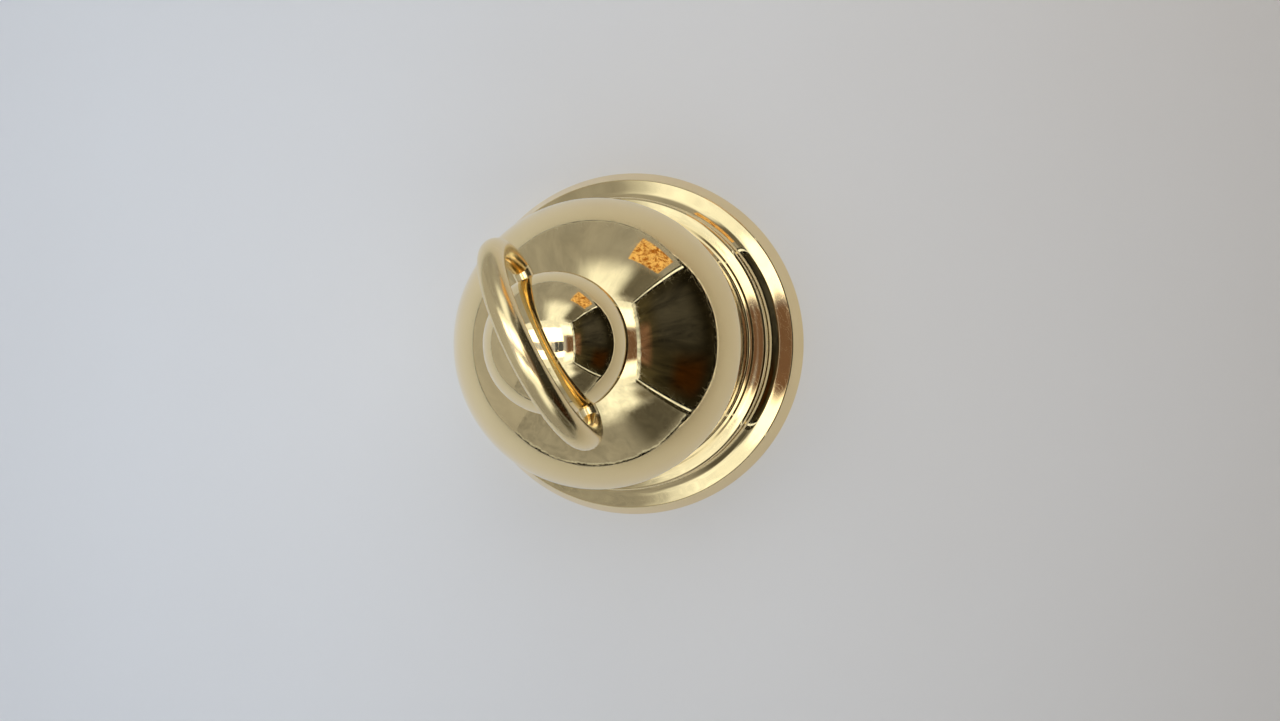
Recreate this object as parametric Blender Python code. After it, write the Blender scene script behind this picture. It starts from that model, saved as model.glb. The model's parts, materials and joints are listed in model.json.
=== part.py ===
"""A small turned brass door bell that hangs from a ring through a ball on its crown.

Metres, +Z up. The origin is the centre of the bell's mouth, on the surface it stands on.
The hanging ring turns about the X axis through the ball, and the clapper swings about X too.
"""

import math

import bmesh
import bpy
from mathutils import Matrix, Vector

# --- Bell body: outside, from the mouth inwards and upwards -------------------
MOUTH_RADIUS = 0.0380
LIP_HEIGHT = 0.0057
LIP_INSET = 0.0024
LEDGE_WIDTH = 0.0026
LEDGE_RISE = 0.0005
COVE_RADIUS = 0.0037
COVE_END_ANGLE = 60
SKIRT_HEIGHT = 0.0092
SKIRT_INSET = 0.0005
SKIRT_EDGE_RADIUS = 0.00095
SKIRT_EDGE_ANGLE = 78
SHOULDER_WIDTH = 0.0018
SHOULDER_RISE = 0.00033
STEP_WIDTH = 0.00045
STEP_RISE = 0.0002
FOOT_WIDTH = 0.0005
FOOT_RISE = 0.0001
FOOT_FILLET = 0.00025
WAIST_HEIGHT = 0.0251
WAIST_INSET = 0.0010
GROOVE_DEPTH = 0.0006
GROOVE_HEIGHT = 0.0007
RIM_OVERHANG = 0.0002
RIM_HEIGHT = 0.0007
DOME_RISE = 0.0191

# --- Bell body: walls and crown ------------------------------------------------
WALL = 0.0032
LIP_WALL = 0.0040
CROWN_FLAT_RADIUS = 0.0045
CROWN_SEAT_RADIUS = 0.0060

# --- Clearances ------------------------------------------------------------------
SEAT_GAP = 0.0003
HOLE_GAP = 0.0003
PIVOT_GAP = 0.00025
LINK_GAP = 0.0002

# --- Crown ball, collar and hanging ring ---------------------------------------
COLLAR_RADIUS = 0.0042
COLLAR_HEIGHT = 0.0011
BALL_RADIUS = 0.0103
BALL_FLAT_RADIUS = 0.0035
BALL_CORE = 0.0052
SOCKET_FLARE = 0.0005
RING_MARGIN = 0.00355
RING_RISE = 0.0072
RING_ROD_RADIUS = 0.0018
RING_END_RADIUS = 0.00135
RING_BEND_RADIUS = 0.0012

# --- Eyebolt and what clamps it under the crown --------------------------------
BOLT_RADIUS = 0.0020
BOLT_TOP_WALL = 0.0016
BOLT_NECK = 0.0010
EYE_WIRE_RADIUS = 0.0016
EYE_OPENING_RADIUS = 0.0028
GASKET_RADIUS = 0.0055
GASKET_HEIGHT = 0.0012
WASHER_RADIUS = 0.0045
WASHER_HEIGHT = 0.0008
LOCK_WASHER_RADIUS = 0.0038
LOCK_WASHER_HEIGHT = 0.0009
LOCK_WASHER_SLOT = 0.0007
CROWN_NUT_FLATS = 0.0070
CROWN_NUT_HEIGHT = 0.0032

# --- Clapper -----------------------------------------------------------------------
CLAPPER_ROD_RADIUS = 0.0015
CLAPPER_LOOP_OPENING_RADIUS = 0.0026
CLAPPER_BALL_RADIUS = 0.0070
CLAPPER_BALL_FLAT_RADIUS = 0.0032
STRIKE_HEIGHT = 0.0152
LOCK_NUT_FLATS = 0.0055
LOCK_NUT_HEIGHT = 0.0022
TAIL_RADIUS = 0.0029
TAIL_TIP_RADIUS = 0.0023
TAIL_LENGTH = 0.0062
TAIL_SOCKET_DEPTH = 0.0026
LANYARD_HOLE_RADIUS = 0.0009
LANYARD_HOLE_FROM_TIP = 0.0018

# --- Facets --------------------------------------------------------------------------
BODY_SIDES = 48
BALL_SIDES = 32
SMALL_SIDES = 20
ROD_SIDES = 12
SHARP_ANGLE = math.radians(35)

# --- Sizes that follow from the ones above -----------------------------------
LIP_TOP_RADIUS = MOUTH_RADIUS - LIP_INSET
LEDGE_RADIUS = LIP_TOP_RADIUS - LEDGE_WIDTH
LEDGE_TOP = LIP_HEIGHT + LEDGE_RISE
LEDGE_SLOPE = math.degrees(math.atan2(LEDGE_RISE, LEDGE_WIDTH))
COVE_AXIS_RADIUS = LEDGE_RADIUS + COVE_RADIUS * math.sin(math.radians(LEDGE_SLOPE))
COVE_AXIS_HEIGHT = LEDGE_TOP + COVE_RADIUS * math.cos(math.radians(LEDGE_SLOPE))
SKIRT_RADIUS = COVE_AXIS_RADIUS - COVE_RADIUS * math.sin(math.radians(COVE_END_ANGLE))
SKIRT_BOTTOM = COVE_AXIS_HEIGHT - COVE_RADIUS * math.cos(math.radians(COVE_END_ANGLE))
SKIRT_TOP_RADIUS = SKIRT_RADIUS - SKIRT_INSET
SKIRT_TOP = SKIRT_BOTTOM + SKIRT_HEIGHT
SKIRT_EDGE_TURN = math.radians(SKIRT_EDGE_ANGLE)
SHOULDER_RADIUS = SKIRT_TOP_RADIUS - SKIRT_EDGE_RADIUS * (1.0 - math.cos(SKIRT_EDGE_TURN))
SHOULDER_BOTTOM = SKIRT_TOP + SKIRT_EDGE_RADIUS * math.sin(SKIRT_EDGE_TURN)
SHOULDER_TOP_RADIUS = SHOULDER_RADIUS - SHOULDER_WIDTH
SHOULDER_TOP = SHOULDER_BOTTOM + SHOULDER_RISE
FOOT_RADIUS = SHOULDER_TOP_RADIUS - STEP_WIDTH
FOOT_BOTTOM = SHOULDER_TOP + STEP_RISE
WAIST_RADIUS = FOOT_RADIUS - FOOT_WIDTH - FOOT_FILLET
WAIST_BOTTOM = FOOT_BOTTOM + FOOT_RISE + FOOT_FILLET
WAIST_TOP_RADIUS = WAIST_RADIUS - WAIST_INSET
WAIST_TOP = WAIST_BOTTOM + WAIST_HEIGHT
RIM_RADIUS = WAIST_TOP_RADIUS + RIM_OVERHANG
RIM_TOP = WAIST_TOP + GROOVE_HEIGHT + RIM_HEIGHT
DOME_RADIUS = (RIM_RADIUS ** 2 + DOME_RISE ** 2) / (2 * DOME_RISE)
DOME_CENTRE = RIM_TOP + DOME_RISE - DOME_RADIUS
CROWN_FLAT = DOME_CENTRE + math.sqrt(DOME_RADIUS ** 2 - CROWN_FLAT_RADIUS ** 2)
INNER_DOME_RADIUS = DOME_RADIUS - WALL
CROWN_SEAT = DOME_CENTRE + math.sqrt(INNER_DOME_RADIUS ** 2 - CROWN_SEAT_RADIUS ** 2)
BOLT_HOLE_RADIUS = BOLT_RADIUS + HOLE_GAP

COLLAR_BOTTOM = CROWN_FLAT + SEAT_GAP
COLLAR_TOP = COLLAR_BOTTOM + COLLAR_HEIGHT
BALL_BOTTOM = COLLAR_TOP + SEAT_GAP
BALL_CENTRE = BALL_BOTTOM + math.sqrt(BALL_RADIUS ** 2 - BALL_FLAT_RADIUS ** 2)
SOCKET_RADIUS = RING_END_RADIUS + PIVOT_GAP
RING_CENTRE = BALL_CENTRE + RING_RISE
RING_RADIUS = BALL_RADIUS + RING_MARGIN
BOLT_TOP = BALL_CENTRE - SOCKET_RADIUS - BOLT_TOP_WALL

GASKET_TOP = CROWN_SEAT - SEAT_GAP
WASHER_TOP = GASKET_TOP - GASKET_HEIGHT - SEAT_GAP
LOCK_WASHER_TOP = WASHER_TOP - WASHER_HEIGHT - SEAT_GAP
CROWN_NUT_TOP = LOCK_WASHER_TOP - LOCK_WASHER_HEIGHT - SEAT_GAP
CROWN_NUT_BOTTOM = CROWN_NUT_TOP - CROWN_NUT_HEIGHT
EYE_RADIUS = EYE_OPENING_RADIUS + EYE_WIRE_RADIUS
EYE_CENTRE = CROWN_NUT_BOTTOM - BOLT_NECK - EYE_WIRE_RADIUS - EYE_RADIUS

CLAPPER_PIVOT = EYE_CENTRE - EYE_RADIUS
LOOP_RADIUS = CLAPPER_LOOP_OPENING_RADIUS + CLAPPER_ROD_RADIUS
LOOP_CENTRE = CLAPPER_PIVOT - (CLAPPER_LOOP_OPENING_RADIUS - EYE_WIRE_RADIUS - LINK_GAP)
CLAPPER_BALL_HALF = math.sqrt(CLAPPER_BALL_RADIUS ** 2 - CLAPPER_BALL_FLAT_RADIUS ** 2)
LOCK_NUT_BOTTOM = STRIKE_HEIGHT + CLAPPER_BALL_HALF + SEAT_GAP
TAIL_TOP = STRIKE_HEIGHT - CLAPPER_BALL_HALF - SEAT_GAP
TAIL_BOTTOM = TAIL_TOP - TAIL_LENGTH
CLAPPER_ROD_BOTTOM = TAIL_TOP - TAIL_SOCKET_DEPTH + SEAT_GAP
CLAPPER_BORE_RADIUS = CLAPPER_ROD_RADIUS + HOLE_GAP


def clear_scene():
    """Remove every object of the start-up scene."""
    for obj in list(bpy.data.objects):
        bpy.data.objects.remove(obj, do_unlink=True)


def make_material(name, colour, roughness, metallic):
    """Make a plain Principled material."""
    material = bpy.data.materials.new(name)
    material.use_nodes = True
    shader = material.node_tree.nodes["Principled BSDF"]
    shader.inputs["Base Color"].default_value = (*colour, 1.0)
    shader.inputs["Roughness"].default_value = roughness
    shader.inputs["Metallic"].default_value = metallic
    return material


def link_object(name, data, material=None):
    """Put new data into the scene as a named object."""
    obj = bpy.data.objects.new(name, data)
    bpy.context.scene.collection.objects.link(obj)
    if material is not None:
        data.materials.append(material)
    return obj


def object_from_bmesh(name, bm, material=None):
    """Turn a finished bmesh into a smooth-shaded object with sharp corners."""
    bmesh.ops.remove_doubles(bm, verts=bm.verts[:], dist=1e-7)
    bmesh.ops.dissolve_degenerate(bm, edges=bm.edges[:], dist=1e-7)
    bmesh.ops.recalc_face_normals(bm, faces=bm.faces[:])
    mesh = bpy.data.meshes.new(name)
    bm.to_mesh(mesh)
    bm.free()
    mesh.shade_smooth()
    mesh.set_sharp_from_angle(angle=SHARP_ANGLE)
    return link_object(name, mesh, material)


def arc(centre, radius, start, end, steps):
    """Points on a circular arc in the profile plane, between two angles in degrees."""
    points = []
    for i in range(steps + 1):
        angle = math.radians(start + (end - start) * i / steps)
        points.append((centre[0] + radius * math.cos(angle), centre[1] + radius * math.sin(angle)))
    return points


def crowned(start, end, steps):
    """A quarter of an ellipse between two points, crowned outwards."""
    (r0, z0), (r1, z1) = start, end
    points = []
    for i in range(steps + 1):
        angle = 0.5 * math.pi * i / steps
        points.append((r1 + (r0 - r1) * math.cos(angle), z0 + (z1 - z0) * math.sin(angle)))
    return points


def turned_bmesh(profile, sides):
    """Turn a closed profile of (radius, height) points about the Z axis."""
    bm = bmesh.new()
    verts = [bm.verts.new((radius, 0.0, height)) for radius, height in profile]
    edges = [bm.edges.new((verts[i - 1], verts[i])) for i in range(1, len(verts))]
    if profile[0][0] > 0.0:
        edges.append(bm.edges.new((verts[-1], verts[0])))
    bmesh.ops.spin(
        bm,
        geom=verts + edges,
        axis=(0.0, 0.0, 1.0),
        cent=(0.0, 0.0, 0.0),
        angle=math.tau,
        steps=sides,
        use_merge=True,
    )
    return bm


def turned(name, profile, sides, material=None):
    """A turned piece in its own place on the Z axis."""
    return object_from_bmesh(name, turned_bmesh(profile, sides), material)


def as_cutter(obj):
    """Hide a shape that only cuts or joins another."""
    obj.hide_render = True
    obj.display_type = "WIRE"
    return obj


def boolean(obj, tool, operation):
    """Cut, join or intersect an object with another."""
    modifier = obj.modifiers.new(tool.name, "BOOLEAN")
    modifier.operation = operation
    modifier.solver = "EXACT"
    modifier.object = as_cutter(tool)
    return obj


def set_origin(obj, height):
    """Move an object's origin up the Z axis, leaving its shape where it is."""
    obj.data.transform(Matrix.Translation((0.0, 0.0, -height)))
    obj.location = (0.0, 0.0, height)
    return obj


def torus(name, major, minor, height, across_y, material=None):
    """An upright ring of round wire: in the XZ plane, or across it in the YZ plane."""
    bm = turned_bmesh(arc((major, 0.0), minor, 0, 360 - 360 / ROD_SIDES, ROD_SIDES - 1), SMALL_SIDES)
    upright = Matrix.Rotation(math.pi / 2, 4, "X")
    turn = Matrix.Rotation(math.pi / 2, 4, "Z") if across_y else Matrix.Identity(4)
    bmesh.ops.transform(bm, matrix=Matrix.Translation((0.0, 0.0, height)) @ turn @ upright, verts=bm.verts[:])
    return object_from_bmesh(name, bm, material)


def cross_pin(name, profile, material=None):
    """A turned shape laid along the X axis at the height of the ball's centre."""
    bm = turned_bmesh(profile, SMALL_SIDES)
    lay = Matrix.Translation((0.0, 0.0, BALL_CENTRE)) @ Matrix.Rotation(math.pi / 2, 4, "Y")
    bmesh.ops.transform(bm, matrix=lay, verts=bm.verts[:])
    return object_from_bmesh(name, bm, material)


def plate(name, inner, outer, top, height, material, edge=0.0):
    """A flat washer, or a rod's length where inner is zero, with an optional small edge."""
    low = top - height
    profile = [(inner, low), (outer - edge, low), (outer, low + edge), (outer, top - edge)]
    profile += [(outer - edge, top), (inner, top)]
    return turned(name, profile, SMALL_SIDES, material)


def hex_nut(name, flats, height, bottom, bore, material):
    """A chamfered hexagon nut with a clear bore."""
    corner = flats / math.sqrt(3.0)
    bm = bmesh.new()
    bmesh.ops.create_cone(
        bm,
        cap_ends=True,
        segments=6,
        radius1=corner,
        radius2=corner,
        depth=height,
        matrix=Matrix.Translation((0.0, 0.0, bottom + height / 2)),
    )
    nut = object_from_bmesh(name, bm, material)
    chamfer = (corner - flats / 2) * 1.1
    slope = chamfer * math.tan(math.radians(30))
    top = bottom + height
    profile = [(bore, bottom), (corner - chamfer, bottom), (corner + slope, bottom + 2 * slope)]
    profile += [(corner + slope, top - 2 * slope), (corner - chamfer, top), (bore, top)]
    return boolean(nut, turned(name + "_form", profile, SMALL_SIDES), "INTERSECT")


def outer_profile():
    """The outside of the bell, from the mouth's edge up to the flat on the crown."""
    lip = [(MOUTH_RADIUS, 0.0), (LIP_TOP_RADIUS, LIP_HEIGHT)]
    cove_axis = (COVE_AXIS_RADIUS, COVE_AXIS_HEIGHT)
    cove = arc(cove_axis, COVE_RADIUS, -90 - LEDGE_SLOPE, -90 - COVE_END_ANGLE, 5)
    edge_axis = (SKIRT_TOP_RADIUS - SKIRT_EDGE_RADIUS, SKIRT_TOP)
    edge = arc(edge_axis, SKIRT_EDGE_RADIUS, 0, SKIRT_EDGE_ANGLE, 4)
    foot = [
        (SHOULDER_TOP_RADIUS, SHOULDER_TOP),
        (FOOT_RADIUS, FOOT_BOTTOM),
        (FOOT_RADIUS - FOOT_WIDTH, FOOT_BOTTOM + FOOT_RISE),
        (WAIST_RADIUS, WAIST_BOTTOM),
        (WAIST_TOP_RADIUS, WAIST_TOP),
    ]
    groove = [
        (WAIST_TOP_RADIUS - GROOVE_DEPTH, WAIST_TOP + GROOVE_HEIGHT * 0.3),
        (WAIST_TOP_RADIUS - GROOVE_DEPTH, WAIST_TOP + GROOVE_HEIGHT * 0.7),
        (RIM_RADIUS, WAIST_TOP + GROOVE_HEIGHT),
    ]
    dome_start = math.degrees(math.acos(RIM_RADIUS / DOME_RADIUS))
    dome_end = math.degrees(math.acos(CROWN_FLAT_RADIUS / DOME_RADIUS))
    dome = arc((0.0, DOME_CENTRE), DOME_RADIUS, dome_start, dome_end, 9)
    return lip + cove + edge + foot + groove + dome


def inner_profile():
    """The inside of the bell, from the seat under the crown down to the mouth."""
    dome_end = math.degrees(math.acos(CROWN_SEAT_RADIUS / INNER_DOME_RADIUS))
    spring_line = RIM_TOP - WALL / 2
    dome_start = math.degrees(math.asin((spring_line - DOME_CENTRE) / INNER_DOME_RADIUS))
    dome = arc((0.0, DOME_CENTRE), INNER_DOME_RADIUS, dome_end, dome_start, 6)
    return dome + [
        (WAIST_RADIUS - WALL, WAIST_BOTTOM - WALL / 2),
        (SHOULDER_RADIUS - WALL, SKIRT_TOP - WALL),
        (SKIRT_RADIUS - WALL, SKIRT_BOTTOM),
        (LEDGE_RADIUS - WALL / 2, LIP_HEIGHT * 0.6),
        (MOUTH_RADIUS - LIP_WALL, 0.0),
    ]


def make_bell_body(material):
    """The hollow bell: moulded lip, waist, domed crown with a hole for the eyebolt."""
    crown = [(BOLT_HOLE_RADIUS, CROWN_FLAT), (BOLT_HOLE_RADIUS, CROWN_SEAT)]
    return turned("bell_body", outer_profile() + crown + inner_profile(), BODY_SIDES, material)


def make_crown_ball(material):
    """The ball: flat below, tapped for the eyebolt, and drilled each side for the ring's ends."""
    bolt_hole_top = BOLT_TOP + SEAT_GAP
    flat_angle = math.degrees(math.acos(BALL_FLAT_RADIUS / BALL_RADIUS))
    profile = [(0.0, bolt_hole_top), (BOLT_HOLE_RADIUS, bolt_hole_top), (BOLT_HOLE_RADIUS, BALL_BOTTOM)]
    profile += arc((0.0, BALL_CENTRE), BALL_RADIUS, -flat_angle, 90, 14)[:-1]
    profile += [(0.0, BALL_CENTRE + BALL_RADIUS)]
    ball = turned("crown_ball", profile, BALL_SIDES, material)
    mouth = math.sqrt(BALL_RADIUS ** 2 - SOCKET_RADIUS ** 2) - SOCKET_FLARE
    outside = BALL_RADIUS + 2 * SOCKET_FLARE
    for side, name in ((-1, "socket_left"), (1, "socket_right")):
        socket = [(0.0, side * BALL_CORE), (SOCKET_RADIUS, side * BALL_CORE), (SOCKET_RADIUS, side * mouth)]
        flare = SOCKET_RADIUS + (outside - mouth)
        socket += [(flare, side * outside), (0.0, side * outside)]
        boolean(ball, cross_pin(name, socket), "DIFFERENCE")
    return set_origin(ball, BALL_CENTRE)


def ring_path():
    """Centre line of the hanging ring in the XZ plane, with the rod's radius at each point."""
    bend_centre_z = BALL_CENTRE + RING_BEND_RADIUS
    reach = RING_RADIUS - RING_BEND_RADIUS
    bend_centre_x = math.sqrt(reach ** 2 - (RING_CENTRE - bend_centre_z) ** 2)
    join = math.atan2(bend_centre_z - RING_CENTRE, bend_centre_x)
    pin_start = BALL_CORE + SEAT_GAP
    half = [(pin_start, BALL_CENTRE, RING_END_RADIUS), ((pin_start + bend_centre_x) / 2, BALL_CENTRE, RING_END_RADIUS)]
    bend_steps = 4
    for i in range(bend_steps):
        angle = -math.pi / 2 + (join + math.pi / 2) * i / bend_steps
        x = bend_centre_x + RING_BEND_RADIUS * math.cos(angle)
        half.append((x, bend_centre_z + RING_BEND_RADIUS * math.sin(angle), RING_END_RADIUS))
    arc_steps = 18
    for i in range(arc_steps + 1):
        share = i / arc_steps
        angle = join + (math.pi / 2 - join) * share
        grown = min(1.0, 2.2 * share)
        rod = RING_END_RADIUS + (RING_ROD_RADIUS - RING_END_RADIUS) * grown * (2 - grown)
        half.append((RING_RADIUS * math.cos(angle), RING_CENTRE + RING_RADIUS * math.sin(angle), rod))
    return half + [(-x, z, rod) for x, z, rod in reversed(half[:-1])]


def make_hanging_ring(material):
    """The ring: one bent rod that thins to a pin at each end, its origin on the pins' axis."""
    path = ring_path()
    curve = bpy.data.curves.new("hanging_ring", "CURVE")
    curve.dimensions = "3D"
    curve.bevel_depth = 1.0
    curve.bevel_resolution = ROD_SIDES // 4 - 1
    curve.use_fill_caps = True
    spline = curve.splines.new("POLY")
    spline.points.add(len(path) - 1)
    for point, (x, z, rod) in zip(spline.points, path):
        point.co = (x, 0.0, z - BALL_CENTRE, 1.0)
        point.radius = rod
    ring = link_object("hanging_ring", curve, material)
    ring.location = (0.0, 0.0, BALL_CENTRE)
    return ring


def make_crown_fasteners(steel, leather):
    """The forged eyebolt, and the gasket, washers and nut that clamp it under the crown."""
    shank_end = EYE_CENTRE + EYE_RADIUS
    edge = BOLT_RADIUS / 5
    eyebolt = plate("eyebolt", 0.0, BOLT_RADIUS, BOLT_TOP, BOLT_TOP - shank_end, steel, edge)
    boolean(eyebolt, torus("eye_form", EYE_RADIUS, EYE_WIRE_RADIUS, EYE_CENTRE, False), "UNION")
    plate("crown_gasket", BOLT_HOLE_RADIUS, GASKET_RADIUS, GASKET_TOP, GASKET_HEIGHT, leather)
    plate("crown_washer", BOLT_HOLE_RADIUS, WASHER_RADIUS, WASHER_TOP, WASHER_HEIGHT, steel)
    lock_washer = plate(
        "lock_washer", BOLT_HOLE_RADIUS, LOCK_WASHER_RADIUS, LOCK_WASHER_TOP, LOCK_WASHER_HEIGHT, steel
    )
    boolean(lock_washer, make_slot(), "DIFFERENCE")
    hex_nut("crown_nut", CROWN_NUT_FLATS, CROWN_NUT_HEIGHT, CROWN_NUT_BOTTOM, BOLT_HOLE_RADIUS, steel)


def make_slot():
    """The slanted slot through one side of the lock washer."""
    bm = bmesh.new()
    size = Vector((2 * LOCK_WASHER_RADIUS, LOCK_WASHER_SLOT, 4 * LOCK_WASHER_HEIGHT))
    middle = LOCK_WASHER_TOP - LOCK_WASHER_HEIGHT / 2
    place = Matrix.Translation((LOCK_WASHER_RADIUS, 0.0, middle)) @ Matrix.Rotation(math.radians(25), 4, "X")
    bmesh.ops.create_cube(bm, size=1.0, matrix=place @ Matrix.Diagonal((*size, 1.0)))
    return object_from_bmesh("slot_form", bm)


def make_clapper(steel, brass):
    """The clapper: a rod looped through the eye, its ball, lock nut and drilled tail."""
    rod_top = LOOP_CENTRE - LOOP_RADIUS
    rod = plate("clapper_rod", 0.0, CLAPPER_ROD_RADIUS, rod_top, rod_top - CLAPPER_ROD_BOTTOM, steel)
    boolean(rod, torus("loop_form", LOOP_RADIUS, CLAPPER_ROD_RADIUS, LOOP_CENTRE, True), "UNION")
    flat_angle = math.degrees(math.acos(CLAPPER_BALL_FLAT_RADIUS / CLAPPER_BALL_RADIUS))
    ball = arc((0.0, STRIKE_HEIGHT), CLAPPER_BALL_RADIUS, -flat_angle, flat_angle, 12)
    ball += [(CLAPPER_BORE_RADIUS, ball[-1][1]), (CLAPPER_BORE_RADIUS, ball[0][1])]
    clapper_ball = turned("clapper_ball", ball, BALL_SIDES, brass)
    nut = hex_nut("clapper_nut", LOCK_NUT_FLATS, LOCK_NUT_HEIGHT, LOCK_NUT_BOTTOM, CLAPPER_BORE_RADIUS, brass)
    tail = make_clapper_tail(brass)
    for piece in (rod, clapper_ball, nut, tail):
        set_origin(piece, CLAPPER_PIVOT)
    for form in ("loop_form", "clapper_nut_form", "lanyard_hole"):
        set_origin(bpy.data.objects[form], CLAPPER_PIVOT)


def make_clapper_tail(material):
    """The tail screwed under the clapper's ball, with a cross hole for a lanyard."""
    socket_top = TAIL_TOP - TAIL_SOCKET_DEPTH
    profile = [(0.0, socket_top), (CLAPPER_BORE_RADIUS, socket_top), (CLAPPER_BORE_RADIUS, TAIL_TOP)]
    profile += [(TAIL_RADIUS, TAIL_TOP), (TAIL_RADIUS, TAIL_TOP - TAIL_LENGTH / 4)]
    profile += crowned((TAIL_TIP_RADIUS, TAIL_BOTTOM + TAIL_TIP_RADIUS), (0.0, TAIL_BOTTOM), 4)
    tail = turned("clapper_tail", profile, SMALL_SIDES, material)
    bm = bmesh.new()
    hole_height = TAIL_BOTTOM + LANYARD_HOLE_FROM_TIP
    bmesh.ops.create_cone(
        bm,
        cap_ends=True,
        segments=ROD_SIDES,
        radius1=LANYARD_HOLE_RADIUS,
        radius2=LANYARD_HOLE_RADIUS,
        depth=4 * TAIL_RADIUS,
        matrix=Matrix.Translation((0.0, 0.0, hole_height)) @ Matrix.Rotation(math.pi / 2, 4, "Y"),
    )
    return boolean(tail, object_from_bmesh("lanyard_hole", bm), "DIFFERENCE")


def make_collar(material):
    """The thin turned collar between the crown and the ball."""
    middle = COLLAR_BOTTOM + COLLAR_HEIGHT / 2
    edge = arc((COLLAR_RADIUS - COLLAR_HEIGHT / 2, middle), COLLAR_HEIGHT / 2, -90, 90, 6)
    profile = [(BOLT_HOLE_RADIUS, COLLAR_BOTTOM)] + edge + [(BOLT_HOLE_RADIUS, COLLAR_TOP)]
    return turned("crown_collar", profile, SMALL_SIDES, material)


def main():
    """Build the whole bell at rest."""
    clear_scene()
    brass = make_material("polished_brass", (0.78, 0.60, 0.28), 0.06, 1.0)
    steel = make_material("zinc_plated_steel", (0.62, 0.63, 0.65), 0.35, 1.0)
    leather = make_material("leather", (0.20, 0.11, 0.06), 0.75, 0.0)
    make_bell_body(brass)
    make_collar(brass)
    make_crown_ball(brass)
    for name in ("socket_left", "socket_right"):
        set_origin(bpy.data.objects[name], BALL_CENTRE)
    make_hanging_ring(brass)
    make_crown_fasteners(steel, leather)
    make_clapper(steel, brass)


main()
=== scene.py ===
import json
import math

import bmesh
import bpy
from mathutils import Matrix, Vector


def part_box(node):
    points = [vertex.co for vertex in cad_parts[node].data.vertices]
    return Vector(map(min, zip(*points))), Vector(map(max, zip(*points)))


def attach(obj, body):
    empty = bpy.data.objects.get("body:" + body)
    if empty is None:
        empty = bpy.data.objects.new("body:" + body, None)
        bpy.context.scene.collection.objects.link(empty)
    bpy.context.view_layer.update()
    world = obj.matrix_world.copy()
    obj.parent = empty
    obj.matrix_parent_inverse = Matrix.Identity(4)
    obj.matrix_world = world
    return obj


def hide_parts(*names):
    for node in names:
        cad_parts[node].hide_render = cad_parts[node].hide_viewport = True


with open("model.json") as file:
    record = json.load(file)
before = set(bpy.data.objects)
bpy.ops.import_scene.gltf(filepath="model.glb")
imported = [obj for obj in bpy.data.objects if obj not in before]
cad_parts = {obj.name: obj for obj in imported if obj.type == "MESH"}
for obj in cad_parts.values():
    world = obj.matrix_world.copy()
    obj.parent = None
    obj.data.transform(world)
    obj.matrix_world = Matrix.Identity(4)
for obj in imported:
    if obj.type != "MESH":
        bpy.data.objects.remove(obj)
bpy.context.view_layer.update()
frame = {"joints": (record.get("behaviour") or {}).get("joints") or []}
mm = 0.001

# the height of the ring's pins, which is the ball's centre
ballCentre = next(joint["pos_m"][2] for joint in frame["joints"] if joint["name"] == "ring_swing")


def toLinear(hexColour):
    # "#rrggbb" in sRGB to the linear values that shaders take
    channels = [int(hexColour[i:i + 2], 16) / 255 for i in (1, 3, 5)]
    linear = [c / 12.92 if c <= 0.04045 else ((c + 0.055) / 1.055) ** 2.4 for c in channels]
    return (*linear, 1.0)


def addNode(tree, kind, settings=None, links=None):
    # adds one node: settings go to its properties or inputs, and links join its inputs to other
    # sockets, or to a node's first output
    node = tree.nodes.new("ShaderNode" + kind)
    for key, value in (settings or {}).items():
        if isinstance(key, str) and hasattr(node, key):
            setattr(node, key, value)
        else:
            node.inputs[key].default_value = value
    for key, source in (links or {}).items():
        socket = source.outputs[0] if hasattr(source, "outputs") else source
        tree.links.new(socket, node.inputs[key])
    return node


def newMaterial(name):
    material = bpy.data.materials.new(name)
    material.use_nodes = True
    material.node_tree.nodes.clear()
    return material, material.node_tree


def setRamp(node, stops):
    # stops are (place, colour) pairs, low to high
    ramp = node.color_ramp
    while len(ramp.elements) > len(stops):
        ramp.elements.remove(ramp.elements[-1])
    while len(ramp.elements) < len(stops):
        ramp.elements.new(1.0)
    for element, (place, colour) in zip(ramp.elements, stops):
        element.position = place
        element.color = colour
    return node


def grey(value):
    return (value, value, value, 1.0)


def aroundAxis(tree, centre=(0.0, 0.0, 0.0), axis="Z"):
    # radius from an axis, height along it, and a point on the unit circle round it
    coords = addNode(tree, "TexCoord")
    moved = addNode(
        tree, "VectorMath", {"operation": "SUBTRACT", 1: centre}, {0: coords.outputs["Object"]}
    )
    apart = addNode(tree, "SeparateXYZ", {}, {0: moved})
    order = {"Z": ("X", "Y", "Z"), "X": ("Y", "Z", "X")}[axis]
    a, b, h = (apart.outputs[name] for name in order)
    flat = addNode(tree, "CombineXYZ", {}, {0: a, 1: b})
    radius = addNode(tree, "VectorMath", {"operation": "LENGTH"}, {0: flat})
    unit = addNode(tree, "VectorMath", {"operation": "NORMALIZE"}, {0: flat})
    return coords.outputs["Object"], radius.outputs["Value"], h, unit.outputs[0]


def latheLines(tree, radius, height, unit, spacing, stretch):
    # noise that is fine along the profile and long round the axis, as a polishing wheel leaves it
    along = addNode(tree, "Math", {"operation": "MULTIPLY", 1: 1 / spacing}, {0: radius})
    up = addNode(tree, "Math", {"operation": "MULTIPLY", 1: 1 / spacing}, {0: height})
    turn = addNode(tree, "SeparateXYZ", {}, {0: unit})
    bent = addNode(tree, "Math", {"operation": "MULTIPLY_ADD", 1: stretch}, {0: turn, 2: along})
    side = addNode(tree, "Math", {"operation": "MULTIPLY", 1: stretch}, {0: turn.outputs[1]})
    place = addNode(tree, "CombineXYZ", {}, {0: bent, 1: side, 2: up})
    return addNode(tree, "TexNoise", {"Scale": 1.0, "Detail": 2.0, "Roughness": 0.6}, {"Vector": place})


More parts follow.
